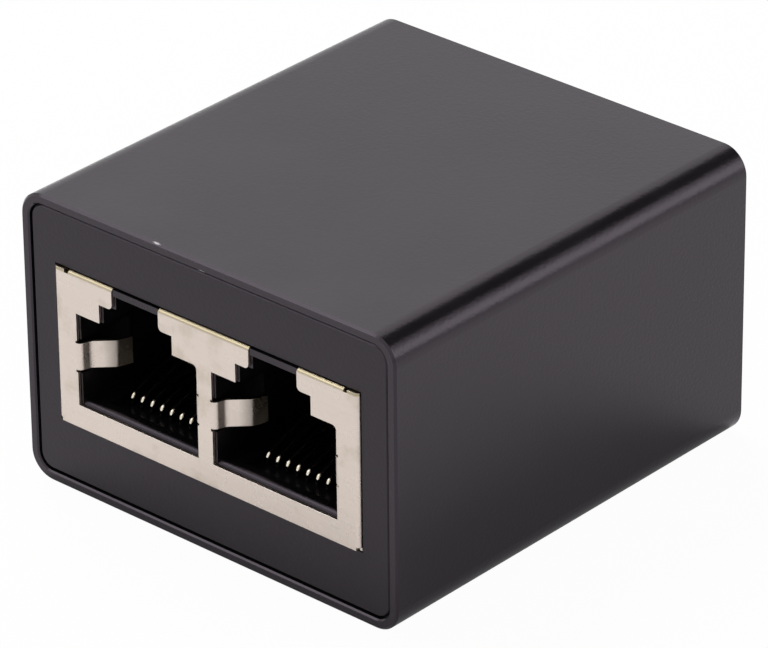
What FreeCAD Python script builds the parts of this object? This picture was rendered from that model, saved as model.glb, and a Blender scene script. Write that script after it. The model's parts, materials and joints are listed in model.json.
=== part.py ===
import FreeCAD, Part
import math
import os

# Network splitter box: two shielded sockets in the front end, one in the rear end.
# Millimetres, +Z up, twin sockets facing -Y, origin at the centre of the underside.
V = FreeCAD.Vector

# Plug cavity of one socket, as moulded in the insulator
port_width = 12.1
port_height = 7.55
port_depth = 10.7
port_divider = 1.87
port_side_wall = 2.06
sill_height = 2.3
sill_depth = 1.0
sill_round = 0.5
trough_floor = 1.7
step_width = 7.16
step_height = 1.6
latch_width = 4.44
latch_height = 1.2
latch_wall = 1.8
housing_roof = 0.3
back_wall = 1.2
back_hollow = 3.5
peg_offset = 5.715
peg_diameter = 3.05
peg_setback = 6.3
peg_tip = 0.4

# Spring contacts and the carrier that holds a row of them
contact_count = 8
contact_pitch = 1.016
contact_width = 0.32
contact_thickness = 0.3
contact_bend_radius = 0.55
contact_run_height = 1.9
contact_fold_height = 0.6
contact_fold_setback = 2.75
contact_slope = 20.0
contact_tip_reach = 0.3
contact_tail_tip = 1.0
contact_slack = 0.06
tail_row_spacing = 2.54
tail_row_setback = 1.6
carrier_height = 3.0
carrier_lead = 2.2
carrier_edge = 0.6
comb_slack = 0.12
comb_depth = 0.7
comb_headroom = 0.5

# Folded sheet shield
sheet_thickness = 0.25
fold_radius = 0.35
jack_fit = 0.05
opening_setback = 0.19
opening_floor_drop = 0.35
opening_corner_radius = 0.4
latch_notch_depth = 1.2
latch_pad_recess = 0.1
relief_width = 0.4
relief_depth = 0.28
relief_inset = 1.05
relief_length = 0.6
foot_relief_width = 0.35
foot_relief_height = 0.3
seam_width = 0.15
seam_top = 1.0
tab_width = 1.2
tab_setbacks = (4.0, 12.5)
tab_tip = 0.9
tab_overlap = 0.4

# Spring fingers folded in from the sides of each mouth
finger_height = 2.28
finger_centre_height = 6.11
finger_root = 0.16
finger_overlap = 0.1
finger_lead = 0.12
finger_bend_radius = 0.38
finger_lean = 18.0
finger_lean_length = 1.0
finger_sweep_radius = 1.0
finger_sweep_lean = 46.0
finger_sweep_length = 1.95
finger_tip_radius = 0.6
finger_tip_lean = 18.0
finger_tip_length = 1.3
finger_relief = 0.22
finger_pocket_depth = 0.9
finger_pocket_length = 5.2
finger_pocket_slack = 0.3

# Circuit board
board_thickness = 1.6
board_side_clearance = 0.1
board_end_clearance = 0.2
tail_hole_diameter = 0.9
tail_hole_sides = 6
peg_clearance = 0.1
tab_clearance = 0.15

# Sleeve and the room it leaves round the jacks
side_room = 1.71
head_room = 3.6
under_room = 2.65
jack_gap = 8.76
sleeve_wall = 1.8
rim_wall = 0.84
sleeve_edge_radius = 2.2
end_edge_break = 0.18
rim_edge_break = 0.12
bore_corner_radius = 0.8
rail_depth = 1.0
rail_height = 1.2
rail_clearance = 0.08

# End panels
panel_thickness = 1.6
panel_recess = 0.1
panel_clearance = 0.15
panel_shift = 0.08
panel_edge_break = 0.1
shield_proud = 0.28
window_clearance = 0.1
tongue_thickness = 1.0
tongue_length = 4.0
tongue_inset = 3.5
tongue_clearance = 0.1

# Overshoot that carries a cut clear of the face it starts from, and how close two places count as one
cut_over = 1.0
same_place = 1e-6

# Heights inside a jack, above the board
port_top = sill_height + port_height
step_top = port_top + step_height
latch_top = step_top + latch_height
housing_top = latch_top + housing_roof
jack_height = housing_top + jack_fit + sheet_thickness

# Distances behind a jack's face
housing_front = sheet_thickness + jack_fit
port_end = housing_front + port_depth
hollow_start = port_end + back_wall
housing_end = hollow_start + back_hollow
jack_depth = housing_end + jack_fit + sheet_thickness
sill_end = housing_front + sill_depth
tail_rear_row = jack_depth - tail_row_setback
tail_front_row = tail_rear_row - tail_row_spacing
carrier_front = tail_front_row - carrier_lead
contact_fold = housing_front + contact_fold_setback

# Widths of a jack, from the centre of a socket
port_pitch = port_width + port_divider
contact_span = (contact_count - 1) * contact_pitch
carrier_half = contact_span / 2 + contact_width / 2 + carrier_edge
opening_half = port_width / 2 + opening_setback
port_to_side = port_width / 2 + port_side_wall + jack_fit + sheet_thickness
front_ports = (-port_pitch / 2, port_pitch / 2)
rear_ports = (0.0,)

# Sleeve built outwards from the twin jack and the board
front_jack_half = front_ports[-1] + port_to_side
bore_half = front_jack_half + side_room
sleeve_half = bore_half + sleeve_wall
bore_floor = sleeve_wall
board_bottom = bore_floor + under_room
board_top = board_bottom + board_thickness
bore_top = board_top + jack_height + head_room
sleeve_height = bore_top + sleeve_wall
jack_setback = panel_recess - shield_proud
sleeve_depth = 2 * (jack_setback + jack_depth) + jack_gap
front_end = -sleeve_depth / 2
rear_end = sleeve_depth / 2
panel_face = front_end + panel_recess
shoulder = panel_face + panel_thickness
rebate_half = sleeve_half - rim_wall
rebate_radius = sleeve_edge_radius - rim_wall


def box(x_low, x_high, y_low, y_high, z_low, z_high):
    """Block between two corners."""
    return Part.makeBox(x_high - x_low, y_high - y_low, z_high - z_low, V(x_low, y_low, z_low))


def edges_along(shape, axis):
    """Straight edges of a shape that run along an axis."""
    lines = [edge for edge in shape.Edges if edge.Curve.TypeId == "Part::GeomLine"]
    return [edge for edge in lines if abs(abs(edge.tangentAt(edge.FirstParameter).dot(axis)) - 1) < same_place]


def edges_in_plane(shape, axis, place):
    """Edges of a shape whose whole length lies at one place along an axis."""
    return [edge for edge in shape.Edges
            if all(abs(vertex.Point.dot(axis) - place) < same_place for vertex in edge.Vertexes)]


def rounded_bar(half, y_low, y_high, z_low, z_high, radius):
    """Bar along Y whose four long edges are rounded."""
    bar = box(-half, half, y_low, y_high, z_low, z_high)
    return bar.makeFillet(radius, edges_along(bar, V(0, 1, 0)))


def rounded_path(points, radii):
    """Wire through the points, with a tangent arc at each corner that has a radius."""
    edges = []
    start = points[0]
    for before, corner, after, radius in zip(points, points[1:], points[2:], radii):
        if radius == 0:
            edges.append(Part.LineSegment(start, corner).toShape())
            start = corner
            continue
        incoming = (corner - before).normalize()
        outgoing = (after - corner).normalize()
        half_turn = incoming.getAngle(outgoing) / 2
        reach = radius * math.tan(half_turn)
        arc_start = corner - incoming * reach
        arc_end = corner + outgoing * reach
        inward = (outgoing - incoming).normalize()
        arc_middle = corner + inward * (radius / math.cos(half_turn) - radius)
        edges.append(Part.LineSegment(start, arc_start).toShape())
        edges.append(Part.Arc(arc_start, arc_middle, arc_end).toShape())
        start = arc_end
    edges.append(Part.LineSegment(start, points[-1]).toShape())
    return Part.Wire(edges)


def bent_strip(points, radii, across, thickness):
    """Strip of metal bent along a path, with its width along the vector across."""
    square_corners = 1
    along = (points[1] - points[0]).normalize()
    side = across * 0.5
    face = along.cross(across).normalize() * (thickness / 2)
    start = points[0]
    corners = [start + side + face, start - side + face, start - side - face, start + side - face]
    section = Part.makePolygon(corners + corners[:1])
    return rounded_path(points, radii).makePipeShell([section], True, False, square_corners)


def shield_mouth(x):
    """Cutter for a mouth in the sheet: plug body, step and latch slot in one outline."""
    body = opening_half
    step = step_width / 2 + opening_setback
    latch = latch_width / 2 + opening_setback
    floor = sill_height - opening_floor_drop
    half_outline = [(body, floor), (body, port_top), (step, port_top), (step, step_top),
                    (latch, step_top), (latch, jack_height + cut_over)]
    outline = half_outline + [(-across, height) for across, height in reversed(half_outline)]
    corners = [V(x + across, -cut_over, height) for across, height in outline]
    mouth = Part.Face(Part.makePolygon(corners + corners[:1])).extrude(V(0, cut_over + housing_front, 0))
    rounded = [V(x - latch, 0, step_top), V(x + latch, 0, step_top), V(x + body, 0, port_top)]
    corner_edges = [edge for edge in edges_along(mouth, V(0, 1, 0))
                    if any(edge.CenterOfMass.distanceToLine(place, V(0, 1, 0)) < same_place for place in rounded)]
    return mouth.makeFillet(opening_corner_radius, corner_edges)


def contact_places(x):
    """Centre of each contact in a socket's row."""
    return [x - contact_span / 2 + index * contact_pitch for index in range(contact_count)]


def tail_row(index):
    """Neighbouring contacts end in two rows of solder tails."""
    return tail_rear_row if index % 2 else tail_front_row


def tab_places(half):
    """Centre of each solder tab along the sides of a shield."""
    side = half - sheet_thickness / 2
    return [(x, y) for x in (-side, side) for y in tab_setbacks]


def peg_places(ports):
    """Centre of each locating peg under an insulator."""
    return [(ports[0] - peg_offset, peg_setback), (ports[-1] + peg_offset, peg_setback)]


def spring_finger(x, hand):
    """Finger folded in from one side of a mouth: hand is -1 on the left, 1 on the right."""
    middle = sheet_thickness / 2
    edge = x + hand * opening_half
    root = V(edge + hand * (finger_root + finger_overlap), middle, finger_centre_height)
    points = [root, V(edge - hand * finger_lead, middle, finger_centre_height)]
    for lean, length in ((finger_lean, finger_lean_length), (finger_sweep_lean, finger_sweep_length),
                         (finger_tip_lean, finger_tip_length)):
        turn = math.radians(lean)
        points.append(points[-1] + V(-hand * math.sin(turn), math.cos(turn), 0) * length)
    radii = (finger_bend_radius, finger_sweep_radius, finger_tip_radius)
    return bent_strip(points, radii, V(0, 0, finger_height), sheet_thickness)


def finger_gap(x, hand):
    """Gap in the sheet round a finger's root, a little taller than the finger so that it can bend."""
    edge = x + hand * opening_half
    x_low, x_high = sorted((edge - hand * cut_over, edge + hand * finger_root))
    reach = finger_height / 2 + finger_relief
    return box(x_low, x_high, -cut_over, sheet_thickness + cut_over,
               finger_centre_height - reach, finger_centre_height + reach)


def folded_can(half):
    """Sheet folded into a can that is open underneath."""
    outside = box(-half, half, 0, jack_depth, 0, jack_height)
    outside = outside.makeFillet(fold_radius, edges_along(outside, V(0, 0, 1)))
    inside = box(-half + sheet_thickness, half - sheet_thickness, sheet_thickness,
                 jack_depth - sheet_thickness, -cut_over, jack_height - sheet_thickness)
    fold_half = half - relief_inset - relief_width
    fold_corner = box(-fold_half, fold_half, -cut_over, fold_radius, jack_height - fold_radius,
                      jack_height + cut_over)
    fold_round = Part.makeCylinder(fold_radius, 2 * fold_half,
                                   V(-fold_half, fold_radius, jack_height - fold_radius), V(1, 0, 0))
    return outside.cut([inside, fold_corner.cut(fold_round)])


def shield_cuts(half):
    """Bend reliefs at the front corners and the seams beside the back plate."""
    cuts = []
    for hand in (-1, 1):
        outer, inner = hand * (half - relief_inset), hand * (half - relief_inset - relief_width)
        x_low, x_high = sorted((outer, inner))
        cuts.append(box(x_low, x_high, -cut_over, relief_length, jack_height - relief_depth, jack_height + cut_over))
        x_low, x_high = sorted((hand * (half - foot_relief_width), hand * (half + cut_over)))
        cuts.append(box(x_low, x_high, -cut_over, housing_front, -cut_over, foot_relief_height))
        x_low, x_high = sorted((hand * (half - sheet_thickness), hand * (half - sheet_thickness - seam_width)))
        cuts.append(box(x_low, x_high, housing_end, jack_depth + cut_over, -cut_over, jack_height - seam_top))
    return cuts


def jack_shield(ports):
    """Folded shield with stepped mouths, spring fingers and solder tabs."""
    half = ports[-1] + port_to_side
    shield = folded_can(half)
    cuts = shield_cuts(half)
    fingers = []
    for x in ports:
        cuts.append(shield_mouth(x))
        latch_half = latch_width / 2 + opening_setback
        cuts.append(box(x - latch_half, x + latch_half, -cut_over, latch_notch_depth,
                        latch_top, jack_height + cut_over))
        for hand in (-1, 1):
            cuts.append(finger_gap(x, hand))
            fingers.append(spring_finger(x, hand))
    tabs = [box(x - sheet_thickness / 2, x + sheet_thickness / 2, y - tab_width / 2, y + tab_width / 2,
                -board_thickness - tab_tip, tab_overlap) for x, y in tab_places(half)]
    return shield.cut(cuts).fuse(fingers + tabs).removeSplitter()


def port_cuts(x):
    """Everything hollow in an insulator round one socket."""
    plug = box(x - port_width / 2, x + port_width / 2, 0, port_end, sill_height, port_top)
    step = box(x - step_width / 2, x + step_width / 2, 0, port_end, sill_height, step_top)
    latch = box(x - latch_width / 2, x + latch_width / 2, 0, port_end, sill_height, latch_top)
    latch_room = box(x - step_width / 2, x + step_width / 2, housing_front + latch_wall, port_end,
                     sill_height, latch_top)
    lip_back = housing_front + sill_round
    lip_low = sill_height - sill_round
    lip_square = box(x - port_width / 2, x + port_width / 2, housing_front, lip_back, lip_low, sill_height)
    lip_round = Part.makeCylinder(sill_round, port_width, V(x - port_width / 2, lip_back, lip_low), V(1, 0, 0))
    lip = lip_square.cut(lip_round)
    trough = box(x - carrier_half, x + carrier_half, sill_end, carrier_front, trough_floor, sill_height)
    seat = box(x - carrier_half - jack_fit, x + carrier_half + jack_fit, carrier_front - jack_fit,
               housing_end + cut_over, -cut_over, carrier_height + jack_fit)
    hollow = box(x - port_width / 2, x + port_width / 2, hollow_start, housing_end + cut_over,
                 carrier_height, port_top)
    pocket_half = finger_height / 2 + finger_pocket_slack
    pocket = box(x - port_width / 2 - finger_pocket_depth, x + port_width / 2 + finger_pocket_depth, 0,
                 housing_front + finger_pocket_length, finger_centre_height - pocket_half,
                 finger_centre_height + pocket_half)
    return [plug, step, latch, latch_room, lip, trough, seat, hollow, pocket]


def comb_slots(x):
    """Slots in the cavity's back wall that space the tips of the contacts."""
    slot_half = contact_width / 2 + comb_slack
    top = contact_tip_height() + comb_headroom
    return [box(place - slot_half, place + slot_half, port_end, port_end + comb_depth, carrier_height, top)
            for place in contact_places(x)]


def jack_housing(ports):
    """Moulded insulator with a plug cavity per socket and two locating pegs."""
    half = ports[-1] + port_width / 2 + port_side_wall
    housing = box(-half, half, housing_front, housing_end, 0, housing_top)
    pegs = [Part.makeCylinder(peg_diameter / 2, board_thickness + peg_tip, V(x, y, 0), V(0, 0, -1))
            for x, y in peg_places(ports)]
    pad_half = latch_width / 2 + opening_setback - jack_fit
    pads = [box(x - pad_half, x + pad_half, latch_pad_recess, latch_notch_depth - jack_fit,
                latch_top, jack_height - jack_fit) for x in ports]
    cuts = []
    for x in ports:
        cuts += port_cuts(x) + comb_slots(x)
    return housing.fuse(pegs + pads).cut(cuts).removeSplitter()


def contact_tip_height():
    """Height of the free tip of a contact."""
    fold_top = contact_run_height + contact_fold_height
    return fold_top + (port_end + contact_tip_reach - contact_fold) * math.tan(math.radians(contact_slope))


def contact(x, index):
    """Spring contact: solder tail, run along the floor, fold and sloping tip."""
    fold_top = contact_run_height + contact_fold_height
    points = [V(x, tail_row(index), -board_thickness - contact_tail_tip),
              V(x, tail_row(index), contact_run_height),
              V(x, contact_fold, contact_run_height),
              V(x, contact_fold, fold_top),
              V(x, port_end + contact_tip_reach, contact_tip_height())]
    radii = (0, 0, contact_bend_radius)
    return bent_strip(points, radii, V(contact_width, 0, 0), contact_thickness)


def contact_carrier(x):
    """Moulded comb that clamps a row of contacts from above."""
    block = box(x - carrier_half, x + carrier_half, carrier_front, housing_end, 0, carrier_height)
    groove_half = contact_width / 2 + contact_slack
    ceiling = contact_run_height + contact_thickness / 2
    grooves = [box(place - groove_half, place + groove_half, carrier_front - cut_over, housing_end + cut_over,
                   -cut_over, ceiling) for place in contact_places(x)]
    return block.cut(grooves)


def board_holes(ports):
    """Holes for the tails, pegs and tabs of one jack, cut through the board."""
    half = ports[-1] + port_to_side
    top = V(0, 0, cut_over)
    down = V(0, 0, -1)
    length = board_thickness + 2 * cut_over
    holes = []
    for x in ports:
        for index, place in enumerate(contact_places(x)):
            centre = V(place, tail_row(index), 0) + top
            rim = Part.makeCircle(tail_hole_diameter / 2, centre).discretize(tail_hole_sides + 1)
            holes.append(Part.Face(Part.makePolygon(rim)).extrude(down * length))
    for x, y in peg_places(ports):
        holes.append(Part.makeCylinder(peg_diameter / 2 + peg_clearance, length, V(x, y, 0) + top, down))
    tab_half = tab_width / 2 + tab_clearance
    sheet_half = sheet_thickness / 2 + tab_clearance
    for x, y in tab_places(half):
        holes.append(box(x - sheet_half, x + sheet_half, y - tab_half, y + tab_half,
                         -board_thickness - cut_over, cut_over))
    return holes


def at_front(shape):
    """Put a piece drawn about a jack's face at the front end."""
    return shape.translated(V(0, front_end + jack_setback, board_top))


def at_rear(shape):
    """Put a piece drawn about a jack's face at the rear end, facing the other way."""
    return at_front(shape).rotated(V(0, 0, 0), V(0, 0, 1), 180)


def circuit_board():
    """Board that slides into the sleeve's rails and carries both jacks."""
    half = bore_half - board_side_clearance
    end = shoulder + board_end_clearance
    board = box(-half, half, end, -end, board_bottom, board_top)
    holes = [at_front(hole) for hole in board_holes(front_ports)]
    holes += [at_rear(hole) for hole in board_holes(rear_ports)]
    return board.cut(holes)


def in_rebate(point):
    """Whether a point lies on or inside the outline of the rebates."""
    middle = sleeve_height / 2
    return (abs(point.x) < rebate_half + same_place
            and abs(point.z - middle) < middle - rim_wall + same_place)


def housing_sleeve():
    """Tube with rounded long edges, a rebate in each end and rails for the board."""
    tube = rounded_bar(sleeve_half, front_end, rear_end, 0, sleeve_height, sleeve_edge_radius)
    rims = edges_in_plane(tube, V(0, 1, 0), front_end) + edges_in_plane(tube, V(0, 1, 0), rear_end)
    tube = tube.makeChamfer(end_edge_break, rims)
    bore = rounded_bar(bore_half, front_end - cut_over, rear_end + cut_over, bore_floor, bore_top,
                       bore_corner_radius)
    rebates = []
    for y_low, y_high in ((front_end - cut_over, shoulder), (-shoulder, rear_end + cut_over)):
        rebates.append(rounded_bar(rebate_half, y_low, y_high, rim_wall, sleeve_height - rim_wall, rebate_radius))
    tube = tube.cut([bore] + rebates)
    mouths = [edge for edge in edges_in_plane(tube, V(0, 1, 0), front_end) + edges_in_plane(tube, V(0, 1, 0), rear_end)
              if all(in_rebate(vertex.Point) for vertex in edge.Vertexes)]
    tube = tube.makeChamfer(rim_edge_break, mouths)
    rails = []
    for hand in (-1, 1):
        x_low, x_high = sorted((hand * (bore_half - rail_depth), hand * (bore_half + sleeve_wall / 2)))
        above = board_top + rail_clearance
        below = board_bottom - rail_clearance
        rails.append(box(x_low, x_high, shoulder, -shoulder, above, above + rail_height))
        rails.append(box(x_low, x_high, shoulder, -shoulder, below - rail_height, below))
    return tube.fuse(rails).removeSplitter()


def end_panel(ports):
    """Plate seated up and to the right in its rebate, with a window and two tongues in the bore."""
    half = rebate_half - panel_clearance
    low = rim_wall + panel_clearance
    high = sleeve_height - rim_wall - panel_clearance
    plate = rounded_bar(half, panel_face, shoulder, low, high, rebate_radius - panel_clearance)
    plate = plate.translated(V(panel_shift, 0, panel_shift))
    plate = plate.makeChamfer(panel_edge_break, edges_in_plane(plate, V(0, 1, 0), panel_face))
    tongue_half = bore_half - tongue_inset
    tongue_end = shoulder + tongue_length
    tongue_high = bore_top - tongue_clearance
    tongue_low = bore_floor + tongue_clearance
    tongues = [box(-tongue_half, tongue_half, panel_face + panel_thickness / 2, tongue_end,
                   tongue_high - tongue_thickness, tongue_high),
               box(-tongue_half, tongue_half, panel_face + panel_thickness / 2, tongue_end,
                   tongue_low, tongue_low + tongue_thickness)]
    window_half = ports[-1] + port_to_side + window_clearance
    window = box(-window_half, window_half, front_end - cut_over, shoulder + cut_over,
                 board_top - window_clearance, board_top + jack_height + window_clearance)
    return plate.fuse(tongues).cut(window).removeSplitter()


def build():
    """All the pieces of the splitter, by name."""
    pieces = {
        "housing_sleeve": housing_sleeve(),
        "front_panel": end_panel(front_ports),
        "rear_panel": end_panel(rear_ports).rotated(V(0, 0, 0), V(0, 0, 1), 180),
        "circuit_board": circuit_board(),
        "front_jack_shield": at_front(jack_shield(front_ports)),
        "front_jack_housing": at_front(jack_housing(front_ports)),
        "rear_jack_shield": at_rear(jack_shield(rear_ports)),
        "rear_jack_housing": at_rear(jack_housing(rear_ports)),
    }
    sockets = [("front_left", front_ports[0], at_front), ("front_right", front_ports[-1], at_front),
               ("rear", rear_ports[0], at_rear)]
    for name, x, place in sockets:
        pieces[name + "_contact_carrier"] = place(contact_carrier(x))
        for index, across in enumerate(contact_places(x)):
            pieces["%s_contact_%d" % (name, index + 1)] = place(contact(across, index))
    return pieces


os.makedirs("parts", exist_ok=True)
for node, solid in build().items():
    solid.exportStep("parts/%s.step" % node)
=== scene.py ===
import json
import math

import bpy
from mathutils import Matrix, Vector


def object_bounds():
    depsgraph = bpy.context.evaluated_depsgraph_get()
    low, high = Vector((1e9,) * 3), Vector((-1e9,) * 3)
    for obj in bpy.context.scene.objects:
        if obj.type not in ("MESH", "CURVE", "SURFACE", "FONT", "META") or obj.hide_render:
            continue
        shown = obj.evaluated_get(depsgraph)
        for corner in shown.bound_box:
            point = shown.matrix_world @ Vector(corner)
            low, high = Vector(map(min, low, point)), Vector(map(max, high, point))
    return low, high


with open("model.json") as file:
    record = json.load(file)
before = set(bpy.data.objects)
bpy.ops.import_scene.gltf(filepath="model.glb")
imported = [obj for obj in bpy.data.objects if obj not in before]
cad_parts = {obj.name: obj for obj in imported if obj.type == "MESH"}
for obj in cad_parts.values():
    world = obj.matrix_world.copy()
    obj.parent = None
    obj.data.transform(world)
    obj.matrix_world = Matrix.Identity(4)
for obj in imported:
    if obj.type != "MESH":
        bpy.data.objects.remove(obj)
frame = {"nodes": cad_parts, "record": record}
cad_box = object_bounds()
nodes = frame["nodes"]

MM = 0.001

# Camera: fitted to the edges of the box in the photograph
IMAGE_WIDTH = 768
SENSOR_WIDTH = 36.0
FOCAL_PIXELS = 5862.4
VIEW_AZIMUTH = math.radians(42.05)
VIEW_ELEVATION = math.radians(28.39)
VIEW_ROLL = math.radians(-0.61)
VIEW_AIM = Vector((-3.36, 3.35, 8.77)) * MM
VIEW_DISTANCE = 454.8 * MM
NEAREST_SEEN = 10.0 * MM

# Faces that meet at less than this angle are shaded as one smooth surface
SMOOTH_ANGLE = math.radians(30)

# An edge is found by how far the surface's direction turns near it, as a cosine
EDGE_SAMPLES = 6
EDGE_STARTS = 0.99
EDGE_FULL = 0.8

# Black plastics: sizes and depths of their relief in millimetres, and the colours of their wear, with a
# painted highlight on their edges
SMUDGE_SIZE = 9.0
RUB_AND_SHEEN_SIZE = 0.7
RUB_AND_SHEEN_REACH = 0.12
WAVE_SIZE = 2.4
WAVE_DEPTH = 0.002
PEEL_SIZE = 0.3
PEEL_DEPTH = 0.017
GRAIN_SIZE = 0.12
GLOSS_TINT = (0.98, 0.83, 1.0, 1.0)
# Lighter edge colour: partly rubbed wear, partly a painted highlight
RUB_AND_SHEEN_COLOUR = (0.07, 0.067, 0.07)
CHIP_COLOUR = (0.8, 0.78, 0.78)

# Small chips in the sleeve's front edges: place and reach in millimetres
SLEEVE_CHIPS = (
    ((-4.75, -20.1, 24.68), (0.5, 0.11, 0.11)),
    ((-0.1, -20.2, 23.95), (0.4, 0.2, 0.08)),
    ((18.9, -20.2, 1.7), (0.12, 0.12, 0.12)),
)

# Tin plate: sizes in millimetres and colours
STAIN_SIZE = 3.2
ROLLED_SIZE = 0.25
ROLLED_STRETCH = (0.06, 1.0, 1.0)
ROLLED_DEPTH = 0.0006
EDGE_HIGHLIGHT_REACH = 0.05
SHEARED_ROUND = 0.06
TIN_DARK = (0.80, 0.70, 0.63)
TIN_LIGHT = (0.86, 0.755, 0.68)
TIN_STAIN = (0.64, 0.55, 0.45)
# Painted highlight colour for the tin's edges
TIN_EDGE_HIGHLIGHT = (0.98, 0.92, 0.8)
# Painted shade colour for the spring fingers' tips
TIN_FINGER_SHADE = (0.07, 0.063, 0.055)
BRASS = (0.5, 0.43, 0.29)

# Painted shade: spring fingers are darkened from the crest to the tip, measured from the middle of the box
FINGER_CREST = 18.75 * MM
FINGER_TIP = 17.75 * MM
FINGER_SHADE_DEPTH = 0.88

# Brass shows through the thin plating of the shields' top folds
FOLD_START = 18.98 * MM
FOLD_TOP = 19.12 * MM

# Contacts keep their plating colour above this height and are darkened below it with painted shade
SHADE_LINE = 8.4 * MM
SHADE_FADE = 0.15 * MM
PLATE_WEAR_SIZE = 0.8
GOLD_DEEP = (0.88, 0.8, 0.64)
GOLD_PALE = (0.93, 0.87, 0.75)
CONTACT_LOW_SHADE = (0.04, 0.036, 0.032)

# Contacts are drawn from round-edged wire
SEAM_REACH = 0.001 * MM
FLAT_ANGLE = math.radians(1)
WIRE_ROUND = 0.14 * MM
WIRE_STEPS = 3
WIRE_CORNER = math.radians(50)

# Circuit board: bands of copper under the solder mask, in repeats per metre along each axis
TRACK_REPEATS = (150.0, 60.0, 60.0)
TRACK_WANDER = 6.0
TRACK_WANDER_SCALE = 0.2
TRACK_DEPTH = 0.02
MASK_COLOUR = (0.012, 0.09, 0.035)
MASK_ON_COPPER = (0.03, 0.17, 0.06)

# Studio: white surroundings with one dark gap, high behind the box
GAP_DIRECTION = Vector((0.16, 0.653, 0.74))
GAP_DARK_ANGLE = math.radians(15)
GAP_EDGE_ANGLE = math.radians(24)
GAP_TONE = 0.02
BACKDROP_TONE = 0.85
AMBIENT_STRENGTH = 0.4
FLOOR_HALF = 2.0
FLOOR_TONE = 0.9
FLOOR_GLOW_SEEN = 0.97
FLOOR_GLOW_REFLECTED = 0.15

# Softboxes round the box: angles in degrees, sizes in metres, power in watts
LAMP_DISTANCE = 0.6
SOFTBOXES = {
    "key_softbox": {"azimuth": 250.0, "elevation": 58.0, "size": 0.3, "power": 2.4},
    "front_softbox": {"azimuth": -45.0, "elevation": 42.0, "size": 0.25, "power": 0.3},
    "rim_softbox": {"azimuth": 133.0, "elevation": 16.0, "size": 0.22, "power": 0.16},
}


def combine(tree, operation, first, second):
    """Arithmetic on two values in a node tree, each a socket or a number."""
    made = tree.nodes.new("ShaderNodeMath")
    made.operation = operation
    for socket, value in zip(made.inputs, (first, second)):
        if isinstance(value, (int, float)):
            socket.default_value = value
        else:
            tree.links.new(value, socket)
    return made.outputs["Value"]


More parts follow.
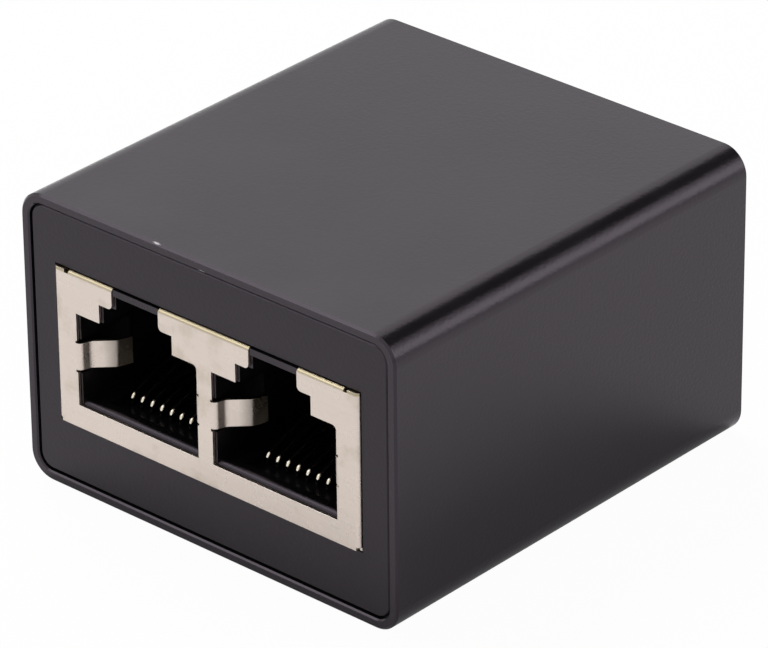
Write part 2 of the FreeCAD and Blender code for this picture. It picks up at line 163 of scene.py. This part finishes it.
class Shader:
    """A material's node tree, with short calls to add and join its nodes."""

    def __init__(self, name):
        self.material = bpy.data.materials.new(name)
        self.material.use_nodes = True
        self.tree = self.material.node_tree
        self.tree.nodes.clear()
        self.surface = self.node("ShaderNodeBsdfPrincipled")
        output = self.node("ShaderNodeOutputMaterial")
        self.join(self.surface.outputs["BSDF"], output.inputs["Surface"])
        self.place = self.node("ShaderNodeTexCoord").outputs["Object"]

    def node(self, kind, **settings):
        made = self.tree.nodes.new(kind)
        for key, value in settings.items():
            setattr(made, key, value)
        return made

    def join(self, output, socket):
        self.tree.links.new(output, socket)

    def set(self, **values):
        """Values that are the same all over the surface."""
        for name, value in values.items():
            self.surface.inputs[name.replace("_", " ")].default_value = value

    def stretched(self, scale):
        """The object's coordinates in metres, stretched per axis."""
        mapping = self.node("ShaderNodeMapping")
        mapping.inputs["Scale"].default_value = scale
        self.join(self.place, mapping.inputs["Vector"])
        return mapping.outputs["Vector"]

    def noise(self, size_mm, detail=2.0, roughness=0.5, stretch=(1.0, 1.0, 1.0)):
        """Noise whose features are about size_mm across."""
        made = self.node("ShaderNodeTexNoise")
        made.inputs["Scale"].default_value = 1.0
        made.inputs["Detail"].default_value = detail
        made.inputs["Roughness"].default_value = roughness
        scale = [across / (size_mm * MM) for across in stretch]
        self.join(self.stretched(scale), made.inputs["Vector"])
        return made.outputs["Fac"]

    def span(self, value, low, high, to_low=0.0, to_high=1.0):
        """A value spread from one range over another, and kept inside it."""
        made = self.node("ShaderNodeMapRange")
        made.inputs["From Min"].default_value = low
        made.inputs["From Max"].default_value = high
        made.inputs["To Min"].default_value = to_low
        made.inputs["To Max"].default_value = to_high
        self.join(value, made.inputs["Value"])
        return made.outputs["Result"]

    def maths(self, operation, first, second):
        return combine(self.tree, operation, first, second)

    def blend(self, factor, first, second):
        """Two colours, each a socket or an RGB triple, mixed by a factor."""
        made = self.node("ShaderNodeMix", data_type="RGBA")
        self.join(factor, made.inputs["Factor"])
        for name, value in (("A", first), ("B", second)):
            socket = [s for s in made.inputs if s.name == name and s.type == "RGBA"][0]
            if isinstance(value, tuple):
                socket.default_value = (*value, 1.0)
            else:
                self.join(value, socket)
        return [s for s in made.outputs if s.type == "RGBA"][0]

    def rounded(self, radius_mm):
        """The surface's direction, as if its sharp edges were rounded."""
        bevel = self.node("ShaderNodeBevel", samples=EDGE_SAMPLES)
        bevel.inputs["Radius"].default_value = radius_mm * MM
        return bevel.outputs["Normal"]

    def edges(self, reach_mm):
        """How sharply the surface turns within reach: 0 on the flat, 1 on a sharp edge."""
        here = self.node("ShaderNodeNewGeometry")
        facing = self.node("ShaderNodeVectorMath", operation="DOT_PRODUCT")
        self.join(self.rounded(reach_mm), facing.inputs[0])
        self.join(here.outputs["Normal"], facing.inputs[1])
        return self.span(facing.outputs["Value"], EDGE_STARTS, EDGE_FULL)

    def mark(self, place_mm, reach_mm):
        """A small oval mark round one place, 1 near its middle and 0 outside it."""
        away = self.node("ShaderNodeVectorMath", operation="SUBTRACT")
        away.inputs[1].default_value = [value * MM for value in place_mm]
        self.join(self.place, away.inputs[0])
        share = self.node("ShaderNodeVectorMath", operation="DIVIDE")
        share.inputs[1].default_value = [value * MM for value in reach_mm]
        self.join(away.outputs["Vector"], share.inputs[0])
        length = self.node("ShaderNodeVectorMath", operation="LENGTH")
        self.join(share.outputs["Vector"], length.inputs[0])
        return self.span(length.outputs["Value"], low=1.0, high=0.5)

    def axis(self, letter):
        """One of the object's coordinates in metres."""
        axes = self.node("ShaderNodeSeparateXYZ")
        self.join(self.place, axes.inputs["Vector"])
        return axes.outputs[letter]

    def away_from_middle(self):
        """Distance in metres towards either end from the middle of the box."""
        return self.maths("ABSOLUTE", self.axis("Y"), 0.0)

    def height(self):
        """Height in metres above the underside of the box."""
        return self.axis("Z")

    def colour(self, socket):
        self.join(socket, self.surface.inputs["Base Color"])

    def rough(self, socket):
        self.join(socket, self.surface.inputs["Roughness"])

    def round_over(self, radius_mm):
        """Shade sharp edges as if they were a little rounded."""
        self.join(self.rounded(radius_mm), self.surface.inputs["Normal"])

    def bump(self, height, depth_mm):
        """Relief of the given depth, on top of any relief already there."""
        made = self.node("ShaderNodeBump")
        made.inputs["Strength"].default_value = 1.0
        made.inputs["Distance"].default_value = depth_mm * MM
        self.join(height, made.inputs["Height"])
        normal = self.surface.inputs["Normal"]
        if normal.is_linked:
            self.join(normal.links[0].from_socket, made.inputs["Normal"])
        self.join(made.outputs["Normal"], normal)


def black_plastic(name, dark, light, glossy, dull, grain_depth, index, chips=()):
    """Moulded black plastic with a fine blasted grain, faint handling marks and lighter edges, partly
    rubbed wear and partly a painted highlight.
    """
    shader = Shader(name)
    shader.set(IOR=index, Specular_Tint=GLOSS_TINT)
    smudge = shader.noise(SMUDGE_SIZE, detail=3.0)
    grain = shader.noise(GRAIN_SIZE, detail=3.0, roughness=0.65)
    mottle = shader.span(smudge, low=0.35, high=0.65)
    colour = shader.blend(mottle, dark, light)
    # Lighter edges: partly rubbed wear, partly a painted highlight
    rub_and_sheen_patches = shader.span(shader.noise(RUB_AND_SHEEN_SIZE, detail=4.0), low=0.5, high=0.7, to_high=0.5)
    rub_and_sheen = shader.maths("MULTIPLY", shader.edges(RUB_AND_SHEEN_REACH), rub_and_sheen_patches)
    colour = shader.blend(rub_and_sheen, colour, RUB_AND_SHEEN_COLOUR)
    for place, reach in chips:
        broken = shader.span(grain, low=0.38, high=0.48, to_low=0.3)
        chip = shader.maths("MULTIPLY", shader.mark(place, reach), broken)
        colour = shader.blend(chip, colour, CHIP_COLOUR)
    shader.colour(colour)
    unevenness = shader.maths("ADD", smudge, grain)
    shader.rough(shader.span(unevenness, low=0.7, high=1.3, to_low=glossy, to_high=dull))
    shader.bump(shader.noise(WAVE_SIZE, detail=1.0), WAVE_DEPTH)
    shader.bump(shader.noise(PEEL_SIZE, detail=2.0), PEEL_DEPTH)
    shader.bump(grain, grain_depth)
    return shader.material


def sleeve_material():
    return black_plastic("sleeve_plastic", dark=(0.0100, 0.0089, 0.0103), light=(0.0121, 0.0108, 0.0124),
                         glossy=0.17, dull=0.25, grain_depth=0.006, index=1.57, chips=SLEEVE_CHIPS)


def panel_material():
    return black_plastic("panel_plastic", dark=(0.0075, 0.0066, 0.0080), light=(0.0092, 0.0081, 0.0098),
                         glossy=0.3, dull=0.38, grain_depth=0.004, index=1.5)


def insulator_material():
    return black_plastic("insulator_plastic", dark=(0.0040, 0.0036, 0.0040), light=(0.0055, 0.0050, 0.0055),
                         glossy=0.26, dull=0.34, grain_depth=0.003, index=1.56)


def tin_material():
    """Rolled tin plate with faint stains, a painted highlight on its edges and painted shade on the finger
    tips.
    """
    shader = Shader("tin_plate")
    shader.set(Metallic=1.0)
    stain = shader.noise(STAIN_SIZE, detail=5.0, roughness=0.6)
    rolled = shader.noise(ROLLED_SIZE, detail=2.0, stretch=ROLLED_STRETCH)
    colour = shader.blend(rolled, TIN_DARK, TIN_LIGHT)
    stained = shader.span(stain, low=0.55, high=0.68, to_high=0.6)
    colour = shader.blend(stained, colour, TIN_STAIN)
    folded = shader.span(shader.height(), FOLD_START, FOLD_TOP)
    colour = shader.blend(folded, colour, BRASS)
    # Painted highlight: the tin's sharp edges are made lighter
    colour = shader.blend(shader.edges(EDGE_HIGHLIGHT_REACH), colour, TIN_EDGE_HIGHLIGHT)
    # Painted shade: the spring fingers darken from the crest to the tip
    finger_shade = shader.span(shader.away_from_middle(), FINGER_CREST, FINGER_TIP, to_high=FINGER_SHADE_DEPTH)
    colour = shader.blend(finger_shade, colour, TIN_FINGER_SHADE)
    shader.colour(colour)
    shader.rough(shader.span(stain, low=0.3, high=0.7, to_low=0.24, to_high=0.34))
    shader.round_over(SHEARED_ROUND)
    shader.bump(rolled, ROLLED_DEPTH)
    return shader.material


def gold_material():
    """Gold plate, rubbed a little brighter in places, with painted shade darkening it low down."""
    shader = Shader("gold_plate")
    shader.set(Metallic=1.0)
    wear = shader.noise(PLATE_WEAR_SIZE, detail=3.0)
    plated = shader.blend(shader.span(wear, low=0.35, high=0.7), GOLD_DEEP, GOLD_PALE)
    # Painted shade: the contacts darken below this height
    shaded_low = shader.span(shader.height(), SHADE_LINE, SHADE_LINE - SHADE_FADE)
    shader.colour(shader.blend(shaded_low, plated, CONTACT_LOW_SHADE))
    shader.rough(shader.span(wear, low=0.3, high=0.7, to_low=0.04, to_high=0.08))
    return shader.material


def board_material():
    """Green solder mask over faint copper tracks."""
    shader = Shader("solder_mask")
    shader.set(Roughness=0.3)
    tracks = shader.node("ShaderNodeTexWave", wave_type="BANDS", bands_direction="X")
    tracks.inputs["Scale"].default_value = 1.0
    tracks.inputs["Distortion"].default_value = TRACK_WANDER
    tracks.inputs["Detail Scale"].default_value = TRACK_WANDER_SCALE
    shader.join(shader.stretched(TRACK_REPEATS), tracks.inputs["Vector"])
    copper = shader.span(tracks.outputs["Fac"], low=0.45, high=0.55)
    shader.colour(shader.blend(copper, MASK_COLOUR, MASK_ON_COPPER))
    shader.bump(copper, TRACK_DEPTH)
    return shader.material


def smooth_group():
    """Geometry nodes that shade smooth, apart from edges over the smooth angle."""
    group = bpy.data.node_groups.new("smooth_by_angle", "GeometryNodeTree")
    group.interface.new_socket("Geometry", in_out="INPUT", socket_type="NodeSocketGeometry")
    group.interface.new_socket("Geometry", in_out="OUTPUT", socket_type="NodeSocketGeometry")
    start = group.nodes.new("NodeGroupInput")
    end = group.nodes.new("NodeGroupOutput")
    faces = group.nodes.new("GeometryNodeSetShadeSmooth")
    faces.domain = "FACE"
    edges = group.nodes.new("GeometryNodeSetShadeSmooth")
    edges.domain = "EDGE"
    angle = group.nodes.new("GeometryNodeInputMeshEdgeAngle")
    flat = group.nodes.new("FunctionNodeCompare")
    flat.operation = "LESS_THAN"
    flat.inputs["B"].default_value = SMOOTH_ANGLE
    group.links.new(start.outputs[0], faces.inputs["Geometry"])
    group.links.new(faces.outputs[0], edges.inputs["Geometry"])
    group.links.new(angle.outputs["Unsigned Angle"], flat.inputs["A"])
    group.links.new(flat.outputs["Result"], edges.inputs["Shade Smooth"])
    group.links.new(edges.outputs[0], end.inputs[0])
    return group


def round_edges(piece):
    """Join the faces of a strip of wire and round its long edges."""
    seams = piece.modifiers.new("seams", "WELD")
    seams.merge_threshold = SEAM_REACH
    flats = piece.modifiers.new("flats", "DECIMATE")
    flats.decimate_type = "DISSOLVE"
    flats.angle_limit = FLAT_ANGLE
    rounding = piece.modifiers.new("rounding", "BEVEL")
    rounding.width = WIRE_ROUND
    rounding.segments = WIRE_STEPS
    rounding.use_clamp_overlap = False
    rounding.limit_method = "ANGLE"
    rounding.angle_limit = WIRE_CORNER


def dress(materials):
    """Give each piece its finish and smooth shading, and each contact its round edges."""
    slots = {row["node"]: row["material_slot"] for row in frame["record"]["subparts"]}
    smooth = smooth_group()
    for name, piece in nodes.items():
        piece.data.materials.clear()
        piece.data.materials.append(materials[slots[name]])
        if slots[name] == "contact":
            round_edges(piece)
        modifier = piece.modifiers.new("smooth_by_angle", "NODES")
        modifier.node_group = smooth


def studio_world():
    """White surroundings with a dark gap, dimmer as a light source than as a background."""
    world = bpy.data.worlds.new("studio")
    bpy.context.scene.world = world
    world.use_nodes = True
    tree = world.node_tree
    background = tree.nodes["Background"]
    rays = tree.nodes.new("ShaderNodeLightPath").outputs
    seen = combine(tree, "MAXIMUM", rays["Is Glossy Ray"], rays["Is Transmission Ray"])
    seen = combine(tree, "MAXIMUM", seen, rays["Is Camera Ray"])
    strength = tree.nodes.new("ShaderNodeMapRange")
    strength.inputs["To Min"].default_value = AMBIENT_STRENGTH
    strength.inputs["To Max"].default_value = 1.0
    tree.links.new(seen, strength.inputs["Value"])
    tree.links.new(strength.outputs["Result"], background.inputs["Strength"])
    towards = tree.nodes.new("ShaderNodeVectorMath")
    towards.operation = "DOT_PRODUCT"
    towards.inputs[1].default_value = GAP_DIRECTION.normalized()
    tree.links.new(tree.nodes.new("ShaderNodeTexCoord").outputs["Generated"], towards.inputs[0])
    tone = tree.nodes.new("ShaderNodeMapRange")
    tone.interpolation_type = "SMOOTHSTEP"
    tone.inputs["From Min"].default_value = math.cos(GAP_EDGE_ANGLE)
    tone.inputs["From Max"].default_value = math.cos(GAP_DARK_ANGLE)
    tone.inputs["To Min"].default_value = BACKDROP_TONE
    tone.inputs["To Max"].default_value = GAP_TONE
    tree.links.new(towards.outputs["Value"], tone.inputs["Value"])
    tree.links.new(tone.outputs["Result"], background.inputs["Color"])


def floor_material():
    """Pale paper that glows to the camera, so that it is seen as white."""
    material = bpy.data.materials.new("pale_floor")
    material.use_nodes = True
    tree = material.node_tree
    tree.nodes.clear()
    paper = tree.nodes.new("ShaderNodeBsdfDiffuse")
    paper.inputs["Color"].default_value = (FLOOR_TONE, FLOOR_TONE, FLOOR_TONE, 1.0)
    glow = tree.nodes.new("ShaderNodeEmission")
    glow.inputs["Color"].default_value = (1.0, 1.0, 1.0, 1.0)
    mix = tree.nodes.new("ShaderNodeMixShader")
    output = tree.nodes.new("ShaderNodeOutputMaterial")
    rays = tree.nodes.new("ShaderNodeLightPath").outputs
    mirrored = combine(tree, "MAXIMUM", rays["Is Glossy Ray"], rays["Is Transmission Ray"])
    seen_share = combine(tree, "MULTIPLY", rays["Is Camera Ray"], FLOOR_GLOW_SEEN)
    mirrored_share = combine(tree, "MULTIPLY", mirrored, FLOOR_GLOW_REFLECTED)
    tree.links.new(combine(tree, "ADD", seen_share, mirrored_share), mix.inputs["Fac"])
    tree.links.new(paper.outputs["BSDF"], mix.inputs[1])
    tree.links.new(glow.outputs["Emission"], mix.inputs[2])
    tree.links.new(mix.outputs["Shader"], output.inputs["Surface"])
    return material


def studio_floor():
    """Wide floor that takes the box's shadow."""
    mesh = bpy.data.meshes.new("floor")
    corners = [(-FLOOR_HALF, -FLOOR_HALF, 0), (FLOOR_HALF, -FLOOR_HALF, 0),
               (FLOOR_HALF, FLOOR_HALF, 0), (-FLOOR_HALF, FLOOR_HALF, 0)]
    mesh.from_pydata(corners, [], [(0, 1, 2, 3)])
    mesh.materials.append(floor_material())
    floor = bpy.data.objects.new("floor", mesh)
    bpy.context.scene.collection.objects.link(floor)


def direction(azimuth, elevation):
    """Unit vector towards a viewer: azimuth 0 stands in front, a quarter turn on the right."""
    flat = math.cos(elevation)
    return Vector((math.sin(azimuth) * flat, -math.cos(azimuth) * flat, math.sin(elevation)))


def softbox(name, azimuth, elevation, size, power):
    """Square lamp that looks at the middle of the box."""
    lamp = bpy.data.lights.new(name, "AREA")
    lamp.shape = "SQUARE"
    lamp.size = size
    lamp.energy = power
    obj = bpy.data.objects.new(name, lamp)
    bpy.context.scene.collection.objects.link(obj)
    middle = (Vector(cad_box[0]) + Vector(cad_box[1])) / 2
    towards = direction(math.radians(azimuth), math.radians(elevation))
    obj.location = middle + towards * LAMP_DISTANCE
    obj.rotation_euler = towards.to_track_quat("Z", "Y").to_euler()


def photo_camera():
    """Camera at the photograph's viewing angle."""
    back = direction(VIEW_AZIMUTH, VIEW_ELEVATION)
    right = Vector((math.cos(VIEW_AZIMUTH), math.sin(VIEW_AZIMUTH), 0.0))
    up = back.cross(right)
    level = Matrix((right, up, back)).transposed()
    camera = bpy.data.cameras.new("camera")
    camera.sensor_width = SENSOR_WIDTH
    camera.lens = FOCAL_PIXELS / IMAGE_WIDTH * SENSOR_WIDTH
    camera.clip_start = NEAREST_SEEN
    obj = bpy.data.objects.new("camera", camera)
    bpy.context.scene.collection.objects.link(obj)
    turned = level @ Matrix.Rotation(VIEW_ROLL, 3, "Z")
    obj.matrix_world = Matrix.Translation(VIEW_AIM + back * VIEW_DISTANCE) @ turned.to_4x4()
    bpy.context.scene.camera = obj


dress({
    "sleeve": sleeve_material(),
    "panel": panel_material(),
    "insulator": insulator_material(),
    "shield": tin_material(),
    "contact": gold_material(),
    "board": board_material(),
})
studio_world()
studio_floor()
for lamp_name, settings in SOFTBOXES.items():
    softbox(lamp_name, **settings)
photo_camera()
bpy.context.scene.view_settings.view_transform = "Standard"
